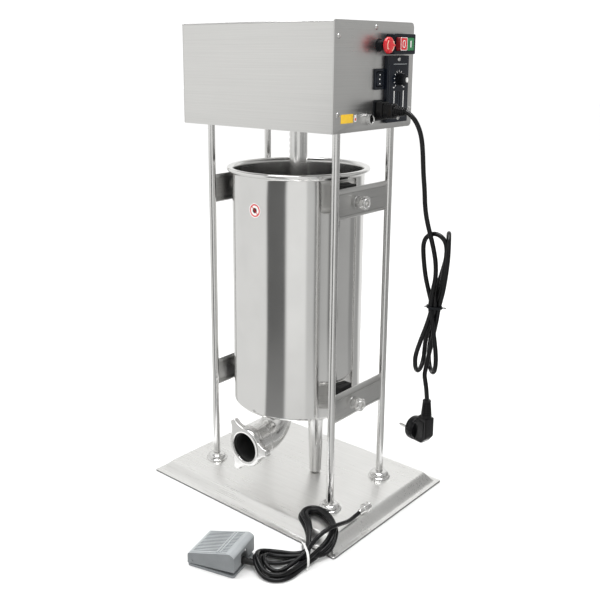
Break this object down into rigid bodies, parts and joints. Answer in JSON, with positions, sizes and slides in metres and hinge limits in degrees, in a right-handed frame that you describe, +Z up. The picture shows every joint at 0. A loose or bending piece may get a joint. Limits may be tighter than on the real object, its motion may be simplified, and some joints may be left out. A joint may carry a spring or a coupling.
{
  "type": "sausage stuffer",
  "caption": "Electric vertical sausage stuffer: steel cylinder clamped between four columns on a base tray, rack-driven piston, gear motor housing with controls, mains lead and foot pedal.",
  "frame": {"origin": "on the floor, at the underside of the base, on the meat cylinder's axis", "axes": "+Z up; +X towards the control panel's side; -Y towards the outlet (front)"},
  "size_m": [0.4963, 0.47, 0.796],
  "materials": {
    "tray_steel": "satin",
    "polished_steel": "polished",
    "housing_steel": "brushed",
    "bracket_steel": "satin",
    "zinc_steel": "satin",
    "machined_iron": "as cast",
    "bronze": "machined",
    "motor_paint": "satin",
    "black_rubber": "matt",
    "seal_silicone": "matt",
    "black_plastic": "satin",
    "gloss_black": "gloss",
    "red_plastic": "gloss",
    "green_plastic": "gloss",
    "grey_plastic": "satin",
    "cord_pvc": "satin",
    "white_tie": "satin",
    "black_tie": "satin"
  },
  "bodies": {
    "frame": {"base_plate": "tray_steel", "base_stiffener": "zinc_steel", "columns": "polished_steel", "column_flanges": "polished_steel", "column_nuts": "zinc_steel", "clamp_brackets": "bracket_steel", "cylinder": "polished_steel", "cylinder_leg": "polished_steel", "outlet_elbow": "polished_steel", "housing_floor": "housing_steel", "housing_cover": "housing_steel", "side_panel_left": "housing_steel", "side_panel_right": "housing_steel", "panel_screws": "polished_steel", "bushes": "bronze", "drive_frame": "machined_iron", "drive_motor": "motor_paint", "estop_collar": "black_plastic", "switch_housing": "gloss_black", "speed_controller": "gloss_black", "direction_bezel": "black_plastic", "power_inlet": "black_plastic", "power_connector": "cord_pvc", "power_cord": "cord_pvc", "power_cord_hank": "cord_pvc", "power_cord_tie": "black_tie", "power_plug": "cord_pvc", "pedal_socket": "polished_steel", "pedal_base": "grey_plastic", "pedal_switch": "black_plastic", "pedal_pin": "polished_steel", "pedal_cord": "cord_pvc", "pedal_cord_hank": "cord_pvc", "pedal_cord_tie": "white_tie", "pedal_connector": "polished_steel"},
    "piston": {"rack_bar": "polished_steel", "piston_plate": "tray_steel", "piston_seal": "seal_silicone", "piston_nut": "zinc_steel"},
    "relief_valve": {"air_valve": "zinc_steel"},
    "pinion": {"pinion_shaft": "zinc_steel", "pinion_gear": "zinc_steel", "worm_wheel": "bronze"},
    "worm": {"worm_shaft": "zinc_steel"},
    "ring_nut": {"outlet_ring_nut": "polished_steel"},
    "stop_stem": {"estop_stem": "black_plastic"},
    "stop_head": {"estop_head": "red_plastic"},
    "start_key": {"start_button": "green_plastic"},
    "stop_key": {"stop_button": "red_plastic"},
    "speed_dial": {"speed_knob": "black_plastic"},
    "rocker": {"direction_rocker": "gloss_black"},
    "pedal": {"pedal_cover": "grey_plastic"},
    "pad_upper_right": {"clamp_pad_upper_right": "black_rubber"},
    "screw_upper_right": {"clamp_screw_upper_right": "polished_steel"},
    "pad_upper_left": {"clamp_pad_upper_left": "black_rubber"},
    "screw_upper_left": {"clamp_screw_upper_left": "polished_steel"},
    "pad_lower_right": {"clamp_pad_lower_right": "black_rubber"},
    "screw_lower_right": {"clamp_screw_lower_right": "polished_steel"},
    "pad_lower_left": {"clamp_pad_lower_left": "black_rubber"},
    "screw_lower_left": {"clamp_screw_lower_left": "polished_steel"}
  },
  "joints": [
    {"name": "piston_slide", "type": "slide", "parent": "frame", "child": "piston", "axis": [0, 0, 1], "range_m": [0, 0.405]},
    {"name": "pinion_spin", "type": "hinge", "parent": "frame", "child": "pinion", "pos_m": [-0.0285, 0, 0.7], "axis": [0, 1, 0], "range_deg": [-1290, 0]},
    {"name": "worm_spin", "type": "hinge", "parent": "frame", "child": "worm", "pos_m": [0, 0.048, 0.75], "axis": [1, 0, 0], "range_deg": [0, 25800]},
    {"name": "valve_lift", "type": "slide", "parent": "piston", "child": "relief_valve", "axis": [0, 0, 1], "range_m": [0, 0.0015]},
    {"name": "ring_nut_turn", "type": "hinge", "parent": "frame", "child": "ring_nut", "pos_m": [0, -0.126, 0.108], "axis": [0, -1, 0], "range_deg": [0, 180]},
    {"name": "emergency_stop_push", "type": "slide", "parent": "frame", "child": "stop_stem", "axis": [-1, 0, 0], "range_m": [0, 0.005]},
    {"name": "emergency_stop_twist", "type": "hinge", "parent": "stop_stem", "child": "stop_head", "pos_m": [0.1665, 0.004, 0.761], "axis": [-1, 0, 0], "range_deg": [0, 45], "stiffness_Nm_per_rad": 0.02},
    {"name": "start_press", "type": "slide", "parent": "frame", "child": "start_key", "axis": [-1, 0, 0], "range_m": [0, 0.002], "stiffness_N_per_m": 400},
    {"name": "stop_press", "type": "slide", "parent": "frame", "child": "stop_key", "axis": [-1, 0, 0], "range_m": [0, 0.002], "stiffness_N_per_m": 400},
    {"name": "speed_dial_turn", "type": "hinge", "parent": "frame", "child": "speed_dial", "pos_m": [0.1585, 0.0515, 0.71], "axis": [1, 0, 0], "range_deg": [-45, 255]},
    {"name": "direction_rock", "type": "hinge", "parent": "frame", "child": "rocker", "pos_m": [0.1485, 0.0058, 0.7113], "axis": [0, 1, 0], "range_deg": [-10, 10]},
    {"name": "pedal_press", "type": "hinge", "parent": "frame", "child": "pedal", "pos_m": [0.04763, -0.27935, 0.0096], "axis": [-0.2756, 0.9613, 0], "range_deg": [0, 3.2], "stiffness_Nm_per_rad": 2, "springref_deg": -3.44},
    {"name": "pad_upper_right_slide", "type": "slide", "parent": "frame", "child": "pad_upper_right", "axis": [1, 0, 0], "range_m": [0, 0.00788]},
    {"name": "screw_upper_right_turn", "type": "hinge", "parent": "pad_upper_right", "child": "screw_upper_right", "pos_m": [0.15, -0.015, 0.524], "axis": [1, 0, 0], "range_deg": [0, 1620]},
    {"name": "pad_upper_left_slide", "type": "slide", "parent": "frame", "child": "pad_upper_left", "axis": [-1, 0, 0], "range_m": [0, 0.00788]},
    {"name": "screw_upper_left_turn", "type": "hinge", "parent": "pad_upper_left", "child": "screw_upper_left", "pos_m": [-0.15, -0.015, 0.524], "axis": [-1, 0, 0], "range_deg": [0, 1620]},
    {"name": "pad_lower_right_slide", "type": "slide", "parent": "frame", "child": "pad_lower_right", "axis": [1, 0, 0], "range_m": [0, 0.00788]},
    {"name": "screw_lower_right_turn", "type": "hinge", "parent": "pad_lower_right", "child": "screw_lower_right", "pos_m": [0.15, -0.015, 0.189], "axis": [1, 0, 0], "range_deg": [0, 1620]},
    {"name": "pad_lower_left_slide", "type": "slide", "parent": "frame", "child": "pad_lower_left", "axis": [-1, 0, 0], "range_m": [0, 0.00788]},
    {"name": "screw_lower_left_turn", "type": "hinge", "parent": "pad_lower_left", "child": "screw_lower_left", "pos_m": [-0.15, -0.015, 0.189], "axis": [-1, 0, 0], "range_deg": [0, 1620]}
  ],
  "couplings": [
    {"joint": "pinion_spin", "follows": "piston_slide", "rad_per_m": -55.556},
    {"joint": "worm_spin", "follows": "piston_slide", "rad_per_m": 1111.1},
    {"joint": "pad_upper_right_slide", "follows": "screw_upper_right_turn", "m_per_rad": 0.00027852},
    {"joint": "pad_upper_left_slide", "follows": "screw_upper_left_turn", "m_per_rad": 0.00027852},
    {"joint": "pad_lower_right_slide", "follows": "screw_lower_right_turn", "m_per_rad": 0.00027852},
    {"joint": "pad_lower_left_slide", "follows": "screw_lower_left_turn", "m_per_rad": 0.00027852}
  ]
}
